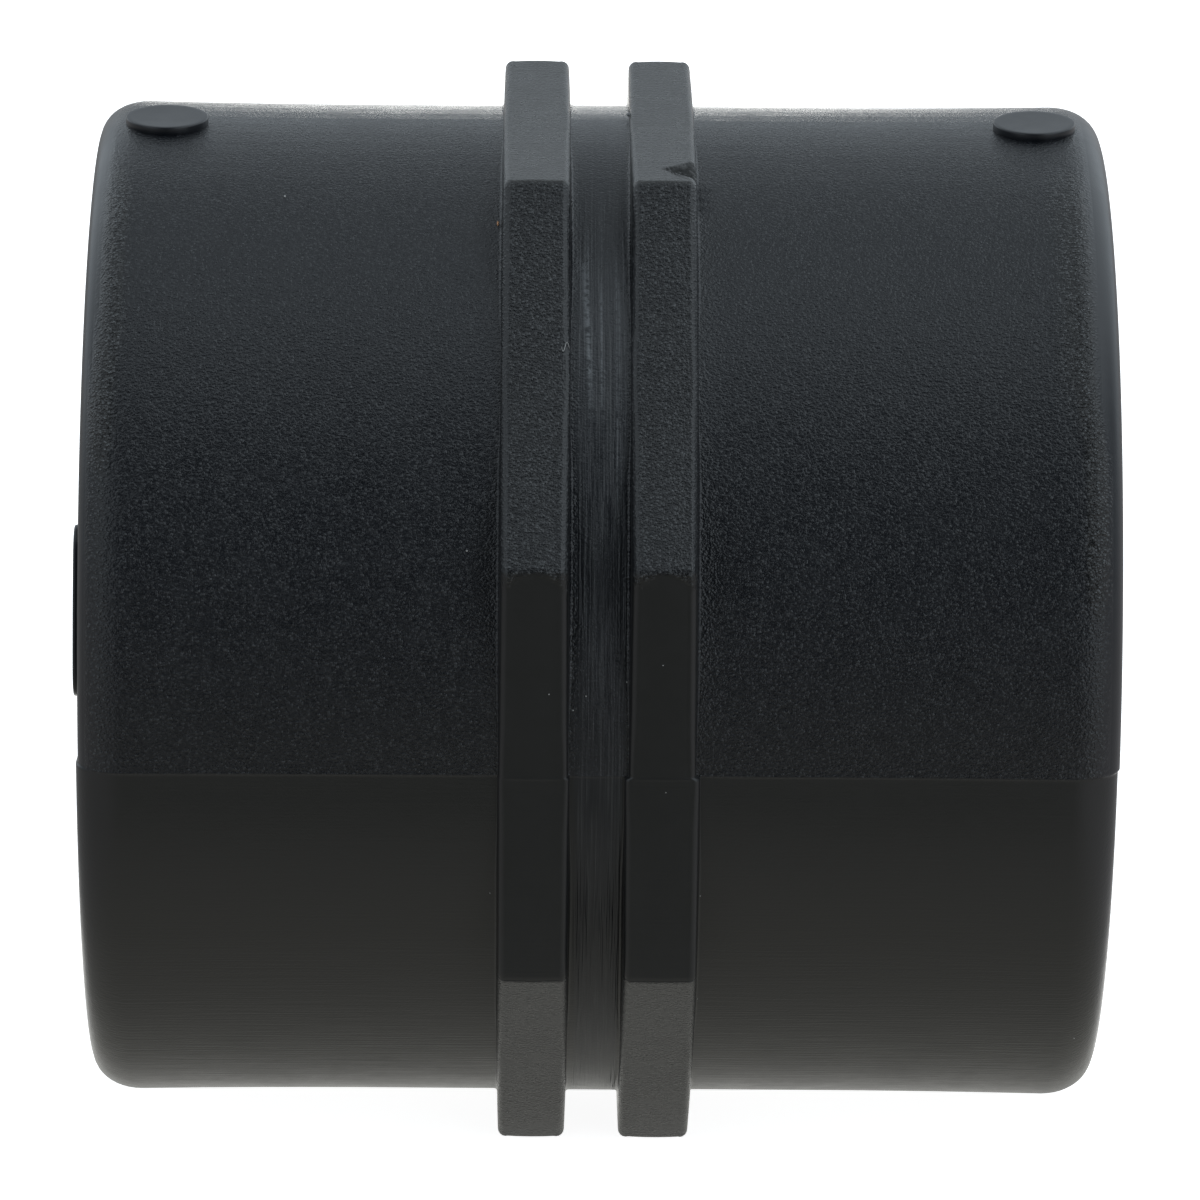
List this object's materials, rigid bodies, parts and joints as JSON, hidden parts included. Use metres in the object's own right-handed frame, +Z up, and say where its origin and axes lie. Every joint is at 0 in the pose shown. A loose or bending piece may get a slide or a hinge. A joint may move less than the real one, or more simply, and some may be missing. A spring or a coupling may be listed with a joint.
{
  "type": "threaded pipe socket",
  "caption": "Black plastic pipe socket with an internal thread from each end up to a stop rib, and octagonal wrench rings round its middle.",
  "frame": {"origin": "centre of the bore at mid-length, which is the middle of the stop rib and of the overall box to within the 0.2 mm mark on the left end face", "axes": "+X along the bore towards the right-hand mouth, +Z up through the upper pair of ring flats and the two ejector pads, +Y away from the viewer"},
  "size_m": [0.0444, 0.0448, 0.0448],
  "materials": {
    "black_plastic": "black polypropylene with a fine spark-eroded grain, satin, smoother on the lower half and in the band between the rings"
  },
  "bodies": {
    "root": {"socket_body": "black_plastic"}
  },
  "joints": []
}
